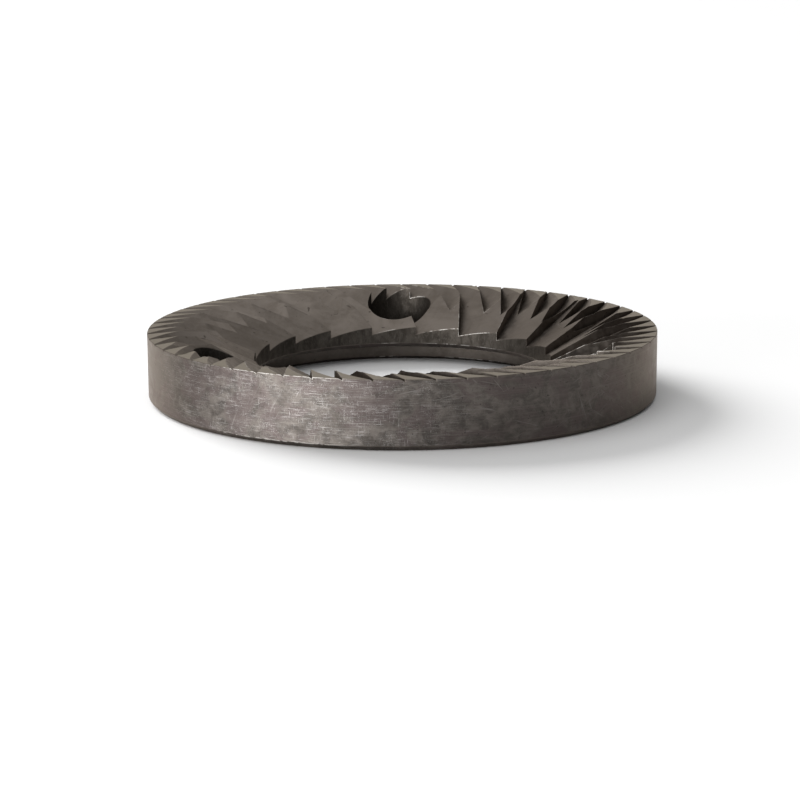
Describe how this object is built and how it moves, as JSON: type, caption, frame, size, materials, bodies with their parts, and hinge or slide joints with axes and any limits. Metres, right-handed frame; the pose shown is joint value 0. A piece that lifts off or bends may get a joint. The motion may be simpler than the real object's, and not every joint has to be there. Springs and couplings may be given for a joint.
{
  "type": "coffee grinder burr",
  "caption": "Flat steel grinding ring with coarse breaking teeth at the bore, fine finishing teeth at the rim, countersunk screw holes and a register recess in the back.",
  "frame": {"origin": "on the ring's axis, in the plane of the back face that it rests on", "axes": "+Z along the axis towards the toothed face, +Y towards one screw hole"},
  "size_m": [0.064, 0.064, 0.0084],
  "materials": {
    "burr_steel": "dark satin tool steel, turned on the outside and ground on the teeth, worn bright on its edges"
  },
  "bodies": {
    "root": {"burr": "burr_steel"}
  },
  "joints": []
}
